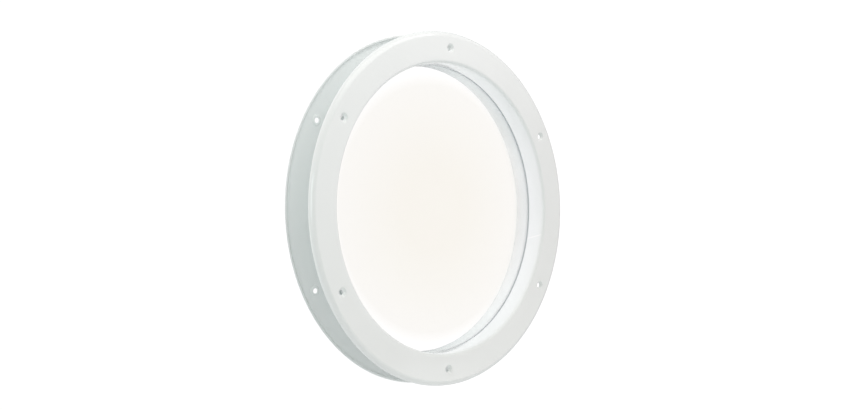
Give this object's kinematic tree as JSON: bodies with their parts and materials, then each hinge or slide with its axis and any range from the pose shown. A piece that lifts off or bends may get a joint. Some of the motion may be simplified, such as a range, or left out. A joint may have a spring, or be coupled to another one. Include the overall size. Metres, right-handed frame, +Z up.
{
  "type": "porthole window",
  "caption": "Round porthole for a door leaf: flanged sheet rings on both faces clamp a clear pane between their collars, with countersunk screw holes round each flange.",
  "frame": {"origin": "centre of the object's box: on the ring axis, halfway between the two flange faces", "axes": "+Y along the ring axis from the front face to the rear face, +Z up, upright as fixed in a door"},
  "size_m": [0.3999, 0.048, 0.4],
  "materials": {
    "white_coat": "gloss",
    "clear_pane": "polished",
    "grey_gasket": "matte",
    "white_gasket": "matte"
  },
  "bodies": {
    "root": {"front_frame": "white_coat", "rear_frame": "white_coat", "pane": "clear_pane", "front_gasket": "grey_gasket", "rear_gasket": "white_gasket"}
  },
  "joints": []
}
